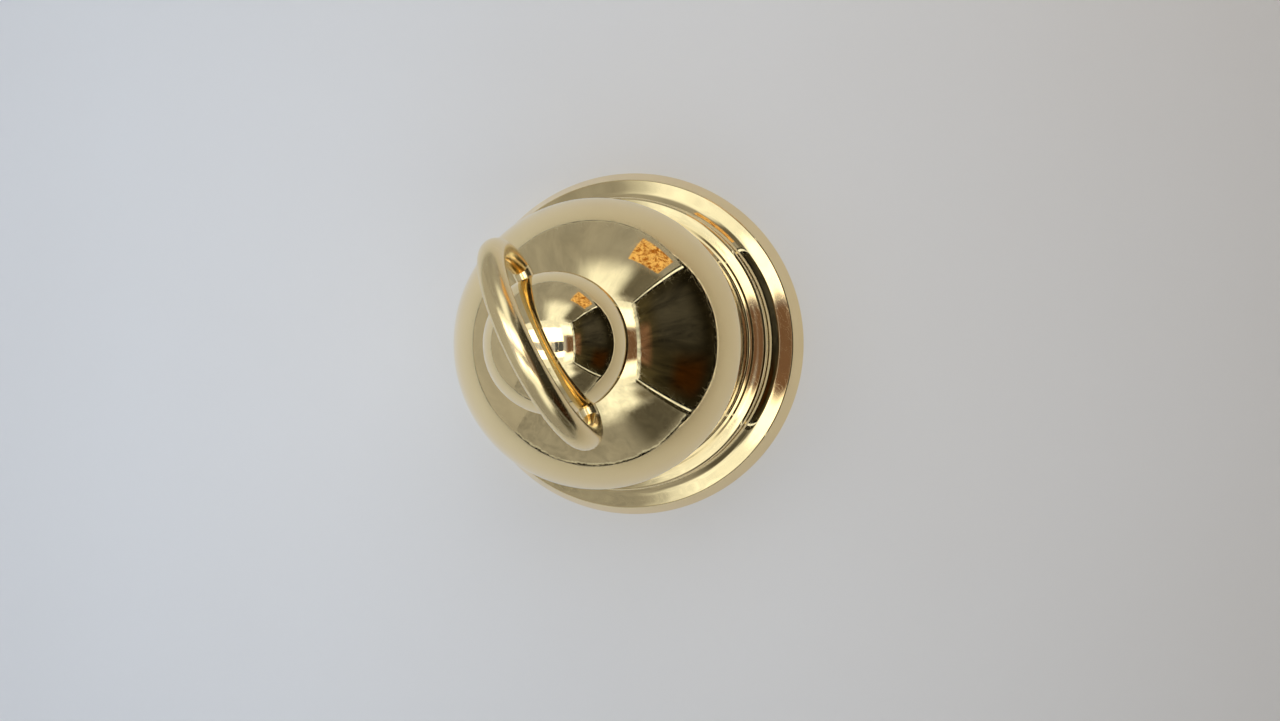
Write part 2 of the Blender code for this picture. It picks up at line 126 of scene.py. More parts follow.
# the finish of each metal: colours, gloss and the real sizes of its marks
brassLook = {
    "clean": "#f6dfa9",        # freshly buffed yellow brass
    "toned": "#c59a4c",        # the browner brass left where a buffing wheel can't reach
    "roughness": 0.012,
    "hazeRoughness": 0.045,
    "buffSpacing": 0.16 * mm,  # real buffing lines are near 0.02 mm, drawn coarser so that they show
    "waveSize": 11.0 * mm,
    "waveHeight": 0.004 * mm,
    "scratchWidth": 0.05 * mm,
    "scratchDull": 0.15,       # how much rougher a hairline is than the mirror round it
    "cloudSize": 9 * mm,       # faint patches of browner tone
    "cloudTone": 0.10,
}


def makePolishedBrass(name, axis="Z", centre=(0.0, 0.0, 0.0), grooves=(), dulled=0.0):
    # buffed yellow brass: a near mirror with faint wheel lines, hairline scratches, soft waves
    # and a browner tone in the grooves
    look = brassLook
    material, tree = newMaterial(name)
    point, radius, height, unit = aroundAxis(tree, centre, axis)
    lines = latheLines(tree, radius, height, unit, look["buffSpacing"], 1.5)

    cloud = addNode(
        tree, "TexNoise", {"Scale": 1 / look["cloudSize"], "Detail": 3.0}, {"Vector": point}
    )
    cloudTone = setRamp(
        addNode(tree, "ValToRGB", {}, {0: cloud}), [(0.35, grey(0.0)), (0.75, grey(1.0))]
    )

    # hairlines: the thin edges of a stretched Voronoi, turned three ways
    hairs = []
    for turn, size in ((0.6, 7.0 * mm), (2.1, 9.0 * mm), (1.3, 5.0 * mm)):
        placed = addNode(
            tree, "Mapping",
            {"Rotation": (0.35 * turn, turn * 0.5, turn), "Scale": (1 / size, 5 / size, 2 / size)},
            {"Vector": point}
        )
        bend = addNode(tree, "TexNoise", {"Scale": 0.8, "Detail": 1.0}, {"Vector": placed})
        shifted = addNode(
            tree, "VectorMath", {"operation": "MULTIPLY_ADD", 1: (0.25, 0.25, 0.25)},
            {0: bend.outputs[1], 2: placed}
        )
        cells = addNode(
            tree, "TexVoronoi", {"feature": "DISTANCE_TO_EDGE", "Scale": 1.0}, {"Vector": shifted}
        )
        width = look["scratchWidth"] / size
        hair = addNode(
            tree, "MapRange", {"From Min": 0.0, "From Max": 2.0 * width, "To Min": 1.0, "To Max": 0.0},
            {0: cells.outputs["Distance"]}
        )
        patch = addNode(tree, "TexNoise", {"Scale": 1 / (4 * mm), "Detail": 1.0}, {"Vector": placed})
        some = addNode(tree, "MapRange", {"From Min": 0.56, "From Max": 0.68}, {0: patch})
        hairs.append(addNode(tree, "Math", {"operation": "MULTIPLY"}, {0: hair, 1: some}).outputs[0])
    both = addNode(tree, "Math", {"operation": "MAXIMUM"}, {0: hairs[0], 1: hairs[1]})
    allHairs = addNode(tree, "Math", {"operation": "MAXIMUM"}, {0: both, 1: hairs[2]})

    # roughness: clean mirror, a little haze in patches and along the hairlines
    haze = addNode(
        tree, "MapRange",
        {
            "From Min": 0.52, "From Max": 0.8, "To Min": look["roughness"] + dulled,
            "To Max": look["hazeRoughness"] + dulled
        },
        {0: lines}
    )
    rough = addNode(
        tree, "Math", {"operation": "MULTIPLY_ADD", 1: look["scratchDull"]}, {0: allHairs, 2: haze}
    )

    # tone: a faint cloud everywhere and browner brass in the grooves
    toneAmount = addNode(
        tree, "Math", {"operation": "MULTIPLY", 1: look["cloudTone"]}, {0: cloudTone}
    ).outputs[0]
    for low, high, depth in grooves:
        middle, half = (low + high) / 2, (high - low) / 2
        away = addNode(tree, "Math", {"operation": "SUBTRACT", 1: middle}, {0: height})
        size = addNode(tree, "Math", {"operation": "ABSOLUTE"}, {0: away})
        inside = addNode(
            tree, "MapRange", {"From Min": half, "From Max": 0.0, "To Min": 0.0, "To Max": depth},
            {0: size}
        )
        toneAmount = addNode(tree, "Math", {"operation": "ADD"}, {0: toneAmount, 1: inside}).outputs[0]
    colour = addNode(
        tree, "Mix", {"data_type": "RGBA", 6: toLinear(look["clean"]), 7: toLinear(look["toned"])},
        {0: toneAmount}
    )

    # height: soft waves in the metal, wheel lines far below them
    waves = addNode(tree, "TexNoise", {"Scale": 1 / look["waveSize"], "Detail": 1.0}, {"Vector": point})
    waveBump = addNode(
        tree, "Bump", {"Strength": 1.0, "Distance": look["waveHeight"] * 8}, {"Height": waves}
    )
    lineBump = addNode(
        tree, "Bump", {"Strength": 0.08, "Distance": 0.02 * mm}, {"Height": lines, "Normal": waveBump}
    )
    hairBump = addNode(
        tree, "Bump", {"Strength": 0.25, "Distance": 0.005 * mm, "invert": True},
        {"Height": allHairs, "Normal": lineBump}
    )

    shader = addNode(
        tree, "BsdfPrincipled", {"Metallic": 1.0},
        {"Base Color": colour.outputs[2], "Roughness": rough, "Normal": hairBump}
    )
    addNode(tree, "OutputMaterial", {}, {0: shader})
    return material


def makeSatinMetal(name, base, worn, roughness, spacing, centre=(0.0, 0.0, 0.0), axis="Z", bump=0.25):
    # turned metal that was never buffed: tool lines round the axis, a dull sheen and blotchy tone
    material, tree = newMaterial(name)
    point, radius, height, unit = aroundAxis(tree, centre, axis)
    lines = latheLines(tree, radius, height, unit, spacing, 0.6)
    blotch = addNode(
        tree, "TexNoise", {"Scale": 1 / (5 * mm), "Detail": 4.0, "Roughness": 0.6}, {"Vector": point}
    )
    amount = addNode(tree, "MapRange", {"From Min": 0.35, "From Max": 0.7}, {0: blotch})
    colour = addNode(
        tree, "Mix", {"data_type": "RGBA", 6: toLinear(base), 7: toLinear(worn)}, {0: amount}
    )
    rough = addNode(
        tree, "MapRange",
        {"From Min": 0.3, "From Max": 0.7, "To Min": roughness * 0.75, "To Max": roughness * 1.3},
        {0: lines}
    )
    relief = addNode(tree, "Bump", {"Strength": bump, "Distance": 0.03 * mm}, {"Height": lines})
    shader = addNode(
        tree, "BsdfPrincipled", {"Metallic": 1.0},
        {"Base Color": colour.outputs[2], "Roughness": rough, "Normal": relief}
    )
    addNode(tree, "OutputMaterial", {}, {0: shader})
    return material


def makeCastBrass(name):
    # sand-cast brass, left as cast and oxidised: grainy, brown and dull
    material, tree = newMaterial(name)
    coords = addNode(tree, "TexCoord")
    grain = addNode(
        tree, "TexNoise", {"Scale": 1 / (0.6 * mm), "Detail": 4.0, "Roughness": 0.65},
        {"Vector": coords.outputs["Object"]}
    )
    stain = addNode(
        tree, "TexNoise", {"Scale": 1 / (8 * mm), "Detail": 3.0}, {"Vector": coords.outputs["Object"]}
    )
    amount = addNode(tree, "MapRange", {"From Min": 0.35, "From Max": 0.68}, {0: stain})
    colour = addNode(
        tree, "Mix", {"data_type": "RGBA", 6: toLinear("#b48a4a"), 7: toLinear("#7d5b2f")}, {0: amount}
    )
    rough = addNode(
        tree, "MapRange", {"From Min": 0.3, "From Max": 0.7, "To Min": 0.42, "To Max": 0.62}, {0: grain}
    )
    relief = addNode(tree, "Bump", {"Strength": 0.5, "Distance": 0.12 * mm}, {"Height": grain})
    shader = addNode(
        tree, "BsdfPrincipled", {"Metallic": 1.0},
        {"Base Color": colour.outputs[2], "Roughness": rough, "Normal": relief}
    )
    addNode(tree, "OutputMaterial", {}, {0: shader})
    return material


def makeLeather(name):
    # vegetable-tanned leather punched into a washer: brown, pebbled, a little waxy
    material, tree = newMaterial(name)
    coords = addNode(tree, "TexCoord")
    pebbles = addNode(
        tree, "TexVoronoi", {"Scale": 1 / (0.5 * mm)}, {"Vector": coords.outputs["Object"]}
    )
    fibre = addNode(
        tree, "TexNoise", {"Scale": 1 / (1.5 * mm), "Detail": 5.0}, {"Vector": coords.outputs["Object"]}
    )
    amount = addNode(tree, "MapRange", {"From Min": 0.3, "From Max": 0.7}, {0: fibre})
    colour = addNode(
        tree, "Mix", {"data_type": "RGBA", 6: toLinear("#6b4226"), 7: toLinear("#3d2413")}, {0: amount}
    )
    relief = addNode(
        tree, "Bump", {"Strength": 0.6, "Distance": 0.08 * mm}, {"Height": pebbles.outputs["Distance"]}
    )
    shader = addNode(
        tree, "BsdfPrincipled", {"Roughness": 0.62, "Metallic": 0.0},
        {"Base Color": colour.outputs[2], "Normal": relief}
    )
    addNode(tree, "OutputMaterial", {}, {0: shader})
    return material


def meshFrom(bm, name):
    # the bmesh as a mesh; the bmesh itself is let go
    mesh = bpy.data.meshes.new(name)
    bm.to_mesh(mesh)
    bm.free()
    return mesh


def addObject(name, data):
    made = bpy.data.objects.new(name, data)
    bpy.context.scene.collection.objects.link(made)
    return made


def finishPiece(name, bm, materials, sharp=40):
    # welds, turns faces outwards and puts the piece into the scene at the origin
    bmesh.ops.remove_doubles(bm, verts=bm.verts[:], dist=1e-7)
    bmesh.ops.dissolve_degenerate(bm, edges=bm.edges[:], dist=1e-8)
    bmesh.ops.recalc_face_normals(bm, faces=bm.faces[:])
    mesh = meshFrom(bm, name)
    for material in materials:
        mesh.materials.append(material)
    mesh.shade_smooth()
    mesh.set_sharp_from_angle(angle=math.radians(sharp))
    return addObject(name, mesh)


def heights(node):
    # the lowest and highest level of a CAD node, in mm
    low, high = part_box(node)
    return low.z / mm, high.z / mm


def standFor(piece, node, body):
    # the piece rides on its body and is shown in place of one CAD node
    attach(piece, body)
    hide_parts(node)
    return piece


def arcPoints(centre, radius, start, end, steps):
    points = []
    for i in range(steps + 1):
        angle = math.radians(start + (end - start) * i / steps)
        points.append((centre[0] + radius * math.cos(angle), centre[1] + radius * math.sin(angle)))
    return points


def roundedCorner(before, corner, after, radius, steps=10):
    # an arc that touches both edges of a corner
    corner, to, on = Vector(corner), Vector(before) - Vector(corner), Vector(after) - Vector(corner)
    to.normalize()
    on.normalize()
    half = to.angle(on) / 2
    axis = corner + (to + on).normalized() * (radius / math.sin(half))
    reach = radius / math.tan(half)
    first, last = corner + to * reach - axis, corner + on * reach - axis
    turn = last.angle_signed(first)
    return [tuple(axis + Matrix.Rotation(turn * i / steps, 2) @ first) for i in range(steps + 1)]


def buffed(points, step, passes):
    # walks a profile in short steps and softens its corners, as buffing does to turned edges
    walked = [Vector(points[0])]
    for a, b in zip(points, points[1:]):
        a, b = Vector(a), Vector(b)
        count = max(1, round((b - a).length / step))
        walked += [a.lerp(b, (i + 1) / count) for i in range(count)]
    for _ in range(passes):
        inner = [(walked[i - 1] + 2 * walked[i] + walked[i + 1]) / 4 for i in range(1, len(walked) - 1)]
        walked = [walked[0], *inner, walked[-1]]
    return walked


def thinned(points, turn, gap):
    # keeps a point where the profile has turned enough or gone far enough since the last one kept
    kept = [points[0]]
    turned = 0.0
    for i in range(1, len(points) - 1):
        before, after = points[i] - points[i - 1], points[i + 1] - points[i]
        if before.length > 0 and after.length > 0:
            turned += abs(before.angle_signed(after, 0.0))
        if turned > math.radians(turn) or (points[i] - kept[-1]).length > gap:
            kept.append(points[i])
            turned = 0.0
    kept.append(points[-1])
    return [tuple(point) for point in kept]


def turnedMesh(profile, steps, closed=False, axis=(0, 0, 1)):
    # spins a profile of (radius, height) points round the Z axis
    bm = bmesh.new()
    verts = [bm.verts.new((r, 0.0, z)) for r, z in profile]
    edges = [bm.edges.new(pair) for pair in zip(verts, verts[1:])]
    if closed:
        edges.append(bm.edges.new((verts[-1], verts[0])))
    bmesh.ops.spin(
        bm, geom=verts + edges, axis=axis, cent=(0, 0, 0), angle=math.tau, steps=steps, use_merge=True
    )
    return bm


# the bell's own sizes in mm and degrees, from the mouth inwards and upwards
bell = {
    "mouthRadius": 38.0, "lipHeight": 5.7, "lipInset": 2.4, "ledgeWidth": 2.6, "ledgeRise": 0.5,
    "coveRadius": 3.7, "coveEnd": 60, "skirtHeight": 9.2, "skirtInset": 0.5,
    "lipRound": 0.5, "edgeRadius": 0.95, "edgeTurn": 78, "shoulderWidth": 1.8, "shoulderRise": 0.33,
    "stepWidth": 0.45, "stepRise": 0.2, "footWidth": 0.5, "footRise": 0.1, "fillet": 0.25,
    "waistHeight": 25.1, "waistInset": 1.0, "grooveDepth": 0.6, "grooveHeight": 0.7,
    "rimOverhang": 0.2, "rimHeight": 0.7, "domeRise": 19.1,
    "wall": 3.2, "lipWall": 4.0, "crownFlat": 4.5, "crownSeat": 6.0, "boltHole": 2.3,
    "sides": 256,
}


def bellLevels():
    # radii and heights of every moulding, each worked out from the one below it
    b = bell
    at = {"lipTop": (b["mouthRadius"] - b["lipInset"], b["lipHeight"])}
    at["ledge"] = (at["lipTop"][0] - b["ledgeWidth"], at["lipTop"][1] + b["ledgeRise"])
    slope = math.atan2(b["ledgeRise"], b["ledgeWidth"])
    at["slope"] = math.degrees(slope)
    at["coveAxis"] = (
        at["ledge"][0] + b["coveRadius"] * math.sin(slope),
        at["ledge"][1] + b["coveRadius"] * math.cos(slope)
    )
    end = math.radians(b["coveEnd"])
    at["skirtFoot"] = (
        at["coveAxis"][0] - b["coveRadius"] * math.sin(end),
        at["coveAxis"][1] - b["coveRadius"] * math.cos(end)
    )
    at["skirtTop"] = (at["skirtFoot"][0] - b["skirtInset"], at["skirtFoot"][1] + b["skirtHeight"])
    turn = math.radians(b["edgeTurn"])
    at["edgeEnd"] = (
        at["skirtTop"][0] - b["edgeRadius"] * (1 - math.cos(turn)),
        at["skirtTop"][1] + b["edgeRadius"] * math.sin(turn)
    )
    at["shoulder"] = (at["edgeEnd"][0] - b["shoulderWidth"], at["edgeEnd"][1] + b["shoulderRise"])
    at["step"] = (at["shoulder"][0] - b["stepWidth"], at["shoulder"][1] + b["stepRise"])
    at["foot"] = (at["step"][0] - b["footWidth"], at["step"][1] + b["footRise"])
    at["waistFoot"] = (at["foot"][0] - b["fillet"], at["foot"][1] + b["fillet"])
    at["waistTop"] = (at["waistFoot"][0] - b["waistInset"], at["waistFoot"][1] + b["waistHeight"])
    at["rimFoot"] = (at["waistTop"][0] + b["rimOverhang"], at["waistTop"][1] + b["grooveHeight"])
    at["rimTop"] = (at["rimFoot"][0], at["rimFoot"][1] + b["rimHeight"])
    domeRadius = (at["rimTop"][0] ** 2 + b["domeRise"] ** 2) / (2 * b["domeRise"])
    at["dome"] = (domeRadius, at["rimTop"][1] + b["domeRise"] - domeRadius)
    return at


def makeBell():
    b, at = bell, bellLevels()
    outside = [(b["mouthRadius"], 0.0)]
    outside += roundedCorner(outside[0], at["lipTop"], at["ledge"], b["lipRound"])
    outside += arcPoints(at["coveAxis"], b["coveRadius"], -90 - at["slope"], -90 - b["coveEnd"], 24)
    edgeAxis = (at["skirtTop"][0] - b["edgeRadius"], at["skirtTop"][1])
    outside += arcPoints(edgeAxis, b["edgeRadius"], 0, b["edgeTurn"], 16)
    outside += [at["shoulder"], at["step"], at["foot"], at["waistFoot"], at["waistTop"]]
    grooveRadius = at["waistTop"][0] - b["grooveDepth"]
    outside += [(grooveRadius, at["waistTop"][1] + 0.3 * b["grooveHeight"])]
    outside += [(grooveRadius, at["waistTop"][1] + 0.7 * b["grooveHeight"]), at["rimFoot"]]
    domeRadius, domeCentre = at["dome"]
    start = math.degrees(math.acos(at["rimTop"][0] / domeRadius))
    end = math.degrees(math.acos(b["crownFlat"] / domeRadius))
    outside += arcPoints((0, domeCentre), domeRadius, start, end, 80)
    outside = thinned(buffed(outside, 0.06, 2), 3.0, 1.0)
    crownFlat = outside[-1][1]
    innerRadius = domeRadius - b["wall"]
    springLine = at["rimTop"][1] - b["wall"] / 2
    seatAngle = math.degrees(math.acos(b["crownSeat"] / innerRadius))
    springAngle = math.degrees(math.asin((springLine - domeCentre) / innerRadius))
    inside = arcPoints((0, domeCentre), innerRadius, seatAngle, springAngle, 24)
    seat = inside[0][1]
    inside += [
        (at["waistFoot"][0] - b["wall"], at["waistFoot"][1] - b["wall"] / 2),
        (at["edgeEnd"][0] - b["wall"], at["skirtTop"][1] - b["wall"]),
        (at["skirtFoot"][0] - b["wall"], at["skirtFoot"][1]),
        (at["ledge"][0] - b["wall"] / 2, b["lipHeight"] * 0.6),
        (b["mouthRadius"] - b["lipWall"], 0.0),
    ]
    inside = thinned(buffed(inside, 0.4, 8), 3.0, 1.5)
    profile = outside + [(b["boltHole"], crownFlat), (b["boltHole"], seat)] + inside
    profile = [(r * mm, z * mm) for r, z in profile]
    bm = turnedMesh(profile, b["sides"], closed=True)
    bmesh.ops.recalc_face_normals(bm, faces=bm.faces[:])
    for face in bm.faces:
        middle = face.calc_center_median()
        away = Vector((middle.x, middle.y, 0)).normalized()
        underDome = face.normal.z < -0.5 and middle.z > at["rimTop"][1] * mm
        face.material_index = 1 if face.normal.dot(away) < -0.05 or underDome else 0
    toned = [
        (at["waistTop"][1] - 0.6, at["rimFoot"][1] + 0.1, 0.8),
        (at["skirtFoot"][1] - 0.6, at["skirtFoot"][1] + 1.6, 0.25),
        (at["shoulder"][1] - 0.15, at["step"][1] + 0.15, 0.3),
        (at["foot"][1] - 0.2, at["waistFoot"][1] + 1.2, 0.35),
    ]
    grooves = [(low * mm, high * mm, depth) for low, high, depth in toned]
    buffedBrass = makePolishedBrass("polishedBrassBell", grooves=grooves)
    piece = finishPiece("bell_shell", bm, [buffedBrass, makeCastBrass("castBrassInside")], 60)
    return standFor(piece, "bell_body", "bell")


ball = {
    "radius": 10.3, "flat": 3.5, "socket": 1.6, "core": 5.2, "flare": 0.5, "boltHole": 2.3,
    "boltDepth": 6.7, "sides": 192
}


def makeBall():
    # spun round the X axis, so its sockets are turned with it; then cut flat and drilled below
    b = ball
    mouth = math.sqrt(b["radius"] ** 2 - b["socket"] ** 2) - b["flare"]
    flareAngle = math.degrees(math.atan2(b["socket"] + 0.8 * b["flare"], mouth + b["flare"]))
    side = [(0.0, b["core"]), (b["socket"], b["core"]), (b["socket"], mouth)]
    half = buffed(side + arcPoints((0, 0), b["radius"], 90 - flareAngle, 0, 90), 0.06, 2)
    half = thinned(half, 2.0, 0.8)
    profile = half + [(r, -z) for r, z in reversed(half[:-1])]
    bm = turnedMesh([(r * mm, z * mm) for r, z in profile], b["sides"])
    bmesh.ops.remove_doubles(bm, verts=bm.verts[:], dist=1e-7)
    lay = Matrix.Translation((0, 0, ballCentre)) @ Matrix.Rotation(math.pi / 2, 4, "Y")
    bmesh.ops.transform(bm, matrix=lay, verts=bm.verts[:])
    flatHeight = ballCentre - math.sqrt(b["radius"] ** 2 - b["flat"] ** 2) * mm
    everything = bm.verts[:] + bm.edges[:] + bm.faces[:]
    cut = bmesh.ops.bisect_plane(
        bm, geom=everything, dist=1e-7, plane_co=(0, 0, flatHeight), plane_no=(0, 0, -1),
        clear_outer=True
    )
    rim = [e for e in cut["geom_cut"] if isinstance(e, bmesh.types.BMEdge)]
    cap = bmesh.ops.contextual_create(bm, geom=rim)["faces"]
    bmesh.ops.inset_region(bm, faces=cap, thickness=(b["flat"] - b["boltHole"]) * mm)
    top = bmesh.ops.extrude_face_region(bm, geom=cap)
    lifted = [v for v in top["geom"] if isinstance(v, bmesh.types.BMVert)]
    bmesh.ops.translate(bm, vec=(0, 0, b["boltDepth"] * mm), verts=lifted)
    bmesh.ops.delete(bm, geom=cap, context="FACES")
    brass = makePolishedBrass("polishedBrassBall", axis="X", centre=(0, 0, ballCentre))
    piece = finishPiece("ball_turned", bm, [brass], 50)
    return standFor(piece, "crown_ball", "bell")


collar = {"radius": 4.2, "height": 1.1, "hole": 2.3}


def makeCollar():
    low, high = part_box("crown_collar")
    c = collar
    middle = (low.z + high.z) / 2 / mm
    edge = arcPoints((c["radius"] - c["height"] / 2, middle), c["height"] / 2, -90, 90, 20)
    profile = [(c["hole"], edge[0][1])] + edge + [(c["hole"], edge[-1][1])]
    bm = turnedMesh([(r * mm, z * mm) for r, z in profile], 96, closed=True)
    brass = makePolishedBrass(
        "polishedBrassCollar", grooves=[(low.z - 0.5 * mm, high.z + 0.5 * mm, 0.7)]
    )
    piece = finishPiece("collar_turned", bm, [brass])
    return standFor(piece, "crown_collar", "bell")


ring = {
    "radius": 13.85, "rise": 7.2, "rod": 1.8, "end": 1.35, "bend": 1.2, "core": 5.5, "sides": 48,
    "taper": 2.2,            # how fast the rod thickens from its ends towards the top
    "dulled": 0.17,          # handling leaves the ring less bright than the ball
}


def ringPath():
    # centre line in the XZ plane from one pin to the other, with the rod's radius at each point
    r = ring
    centre = ballCentre / mm
    top = centre + r["rise"]
    bendZ = centre + r["bend"]
    reach = r["radius"] - r["bend"]
    bendX = math.sqrt(reach ** 2 - (top - bendZ) ** 2)
    join = math.atan2(bendZ - top, bendX)
    half = [(r["core"], centre, r["end"] - 0.3), (r["core"] + 0.3, centre, r["end"])]
    half += [
        (r["core"] + 0.3 + (bendX - r["core"] - 0.3) * i / 8, centre, r["end"]) for i in range(1, 8)
    ]
    for i in range(14):
        angle = -math.pi / 2 + (join + math.pi / 2) * i / 14
        half.append(
            (bendX + r["bend"] * math.cos(angle), bendZ + r["bend"] * math.sin(angle), r["end"])
        )
    for i in range(73):
        share = i / 72
        angle = join + (math.pi / 2 - join) * share
        grown = min(1.0, r["taper"] * share)
        rod = r["end"] + (r["rod"] - r["end"]) * grown * (2 - grown)
        half.append((r["radius"] * math.cos(angle), top + r["radius"] * math.sin(angle), rod))
    return half + [(-x, z, rod) for x, z, rod in reversed(half[:-1])]


def makeRing():
    # a round rod swept along the path by extruding one circle from station to station
    bm = bmesh.new()
    path = ringPath()
    stations = []
    for i, (x, z, rod) in enumerate(path):
        before, after = path[max(i - 1, 0)], path[min(i + 1, len(path) - 1)]
        heading = Vector((after[0] - before[0], 0, after[1] - before[1])).normalized()
        across = heading.cross(Vector((0, 1, 0)))
        basis = Matrix((across, Vector((0, 1, 0)), heading)).transposed().to_4x4()
        stations.append((Vector((x, 0, z)) * mm, basis, rod * mm))
    place, basis, rod = stations[0]
    bmesh.ops.create_circle(
        bm, cap_ends=True, segments=ring["sides"], radius=rod, matrix=Matrix.Translation(place) @ basis
    )
    front = bm.faces[:]
    for (oldPlace, oldBasis, oldRod), (place, basis, rod) in zip(stations, stations[1:]):
        grown = bmesh.ops.extrude_face_region(bm, geom=front)
        bmesh.ops.delete(
            bm, geom=front if len(bm.faces) > ring["sides"] + 2 else [], context="FACES_ONLY"
        )
        front = [f for f in grown["geom"] if isinstance(f, bmesh.types.BMFace)]
        verts = [v for v in grown["geom"] if isinstance(v, bmesh.types.BMVert)]
        resize, away = Matrix.Scale(rod / oldRod, 4), Matrix.Translation(-oldPlace)
        move = Matrix.Translation(place) @ basis @ resize @ oldBasis.inverted() @ away
        bmesh.ops.transform(bm, matrix=move, verts=verts)
    brass = makePolishedBrass(
        "polishedBrassRing", axis="X", centre=(0, 0, ballCentre), dulled=ring["dulled"]
    )
    piece = finishPiece("ring_rod", bm, [brass], 50)
    return standFor(piece, "hanging_ring", "ring")


makeBell()
print("stage: bell turned")
makeCollar()
makeBall()
print("stage: collar and ball turned")
makeRing()
print("stage: ring bent")


def meshedCopy(piece):
    # the piece's mesh with its modifiers worked in, as a new bmesh; the piece itself is removed
    graph = bpy.context.evaluated_depsgraph_get()
    mesh = bpy.data.meshes.new_from_object(piece.evaluated_get(graph))
    bm = bmesh.new()
    bm.from_mesh(mesh)
    bpy.data.objects.remove(piece)
    bpy.data.meshes.remove(mesh)
    return bm


def blended(bm, voxel, smoothing):
    # melts overlapping forms into one skin, as a forging flows from a shank into its eye
    forging = addObject("forging", meshFrom(bm, "forging"))
    remesh = forging.modifiers.new("skin", "REMESH")
    remesh.mode = "VOXEL"
    remesh.voxel_size = voxel * mm
    smooth = forging.modifiers.new("flow", "SMOOTH")
    smooth.factor = 0.5
    smooth.iterations = smoothing
    return meshedCopy(forging)


def joinTo(bm, part):
    mesh = meshFrom(part, "part")
    bm.from_mesh(mesh)
    bpy.data.meshes.remove(mesh)


def addRod(bm, profile, sides=48):
    # a turned form standing on the Z axis, joined to the same bmesh
    joinTo(bm, turnedMesh([(r * mm, z * mm) for r, z in profile], sides))


def addEye(bm, major, minor, height, acrossY):
    # a round eye with its hole along Y, or along X when it lies across Y
    circle = bmesh.new()
    bmesh.ops.create_circle(circle, segments=32, radius=minor * mm)
    bmesh.ops.rotate(
        circle, cent=(0, 0, 0), matrix=Matrix.Rotation(math.pi / 2, 3, "X"), verts=circle.verts[:]
    )
    bmesh.ops.translate(circle, vec=(major * mm, 0, 0), verts=circle.verts[:])
    bmesh.ops.spin(
        circle, geom=circle.verts[:] + circle.edges[:], axis=(0, 0, 1), cent=(0, 0, 0), angle=math.tau,
        steps=96, use_merge=True
    )
    lay = Matrix.Rotation(math.pi / 2, 4, "Y" if acrossY else "X")
    bmesh.ops.transform(
        circle, matrix=Matrix.Translation((0, 0, height * mm)) @ lay, verts=circle.verts[:]
    )
    bmesh.ops.recalc_face_normals(circle, faces=circle.faces[:])
    joinTo(bm, circle)


def threadProfile(radius, low, high, pitch, depth):
    # ridges up a thread's flank; each turn is drawn as a closed ring, a slope too slight to see
    points = []
    turns = int((high - low) / pitch)
    for i in range(turns):
        foot = low + i * pitch
        points += [
            (radius - depth, foot), (radius - 0.15 * depth, foot + 0.42 * pitch),
            (radius - 0.15 * depth, foot + 0.58 * pitch)
        ]
    return points + [(radius - depth, low + turns * pitch)]


eyebolt = {
    "shank": 2.0, "blank": 1.96, "flare": 2.4, "wire": 1.6, "eye": 4.4, "neck": 4.6,
    "threadStart": 3.4, "threadPitch": 0.7, "threadDepth": 0.38
}


def makeEyebolt(material):
    e = eyebolt
    low, high = heights("eyebolt")
    eyeHeight = low + e["eye"] + e["wire"]
    eyeTop = eyeHeight + e["eye"]
    forging = bmesh.new()
    addEye(forging, e["eye"], e["wire"], eyeHeight, False)
    addRod(
        forging,
        [
            (0, eyeTop - 0.6), (e["wire"], eyeTop - 0.6), (e["flare"], eyeTop + 0.9),
            (e["blank"], eyeTop + 2.2), (e["blank"], eyeTop + e["neck"]), (0, eyeTop + e["neck"])
        ]
    )
    bm = blended(forging, 0.16, 6)
    start = eyeTop + e["threadStart"]
    thread = threadProfile(e["shank"], start, high - 0.6, e["threadPitch"], e["threadDepth"])
    addRod(bm, [(0, start)] + thread + [(e["shank"] - e["threadDepth"] - 0.25, high), (0, high)])
    piece = finishPiece("eyebolt_forged", bm, [material], 45)
    return standFor(piece, "eyebolt", "bell")


clapper = {
    "rod": 1.5, "loop": 4.1, "ball": 7.0, "ballFlat": 3.2, "bore": 1.8, "tip": 2.3, "tail": 2.9,
    "lanyard": 0.9, "lanyardHeight": 1.8, "socket": 2.6, "pitch": 0.5, "threadDepth": 0.27
}


def makeClapperRod(material):
    c = clapper
    low, high = heights("clapper_rod")
    loopHeight = high - c["loop"] - c["rod"]
    neck = loopHeight - c["loop"]
    forging = bmesh.new()
    addEye(forging, c["loop"], c["rod"], loopHeight, True)
    addRod(
        forging,
        [
            (0, neck - 3.0), (c["rod"], neck - 3.0), (c["rod"], neck - 1.4), (1.95, neck - 0.4),
            (1.4, neck + 0.8), (0, neck + 0.8)
        ]
    )
    bm = blended(forging, 0.16, 5)
    threadTop = heights("clapper_nut")[1] + 3.0
    thread = threadProfile(c["rod"], low + 0.5, threadTop, c["pitch"], c["threadDepth"])
    addRod(
        bm,
        [(0, low), (c["rod"] - 0.4, low)] + thread + [
            (c["rod"], threadTop + 0.5), (c["rod"], neck - 2.4), (0, neck - 2.4)
        ]
    )
    piece = finishPiece("clapper_stem", bm, [material], 45)
    return standFor(piece, "clapper_rod", "clapper")


def makeStriker(material):
    c = clapper
    centre = sum(heights("clapper_ball")) / 2
    flat = math.degrees(math.asin(c["ballFlat"] / c["ball"]))
    skin = arcPoints((0, centre), c["ball"], -90 + flat, 90 - flat, 72)
    bottom, top = skin[0][1], skin[-1][1]
    profile = [(c["bore"] + 0.25, bottom)] + [
        tuple(p) for p in buffed([(2.6, bottom)] + skin + [(2.6, top)], 0.08, 3)
    ]
    profile += [(c["bore"] + 0.25, top), (c["bore"], top - 0.25), (c["bore"], bottom + 0.25)]
    bm = turnedMesh([(r * mm, z * mm) for r, z in profile], 160, closed=True)
    piece = finishPiece("striker_ball", bm, [material], 40)
    return standFor(piece, "clapper_ball", "clapper")


nut = {"chamfer": 30, "faceShare": 0.97, "mouth": 0.3, "pitch": 0.5, "threadDepth": 0.2}


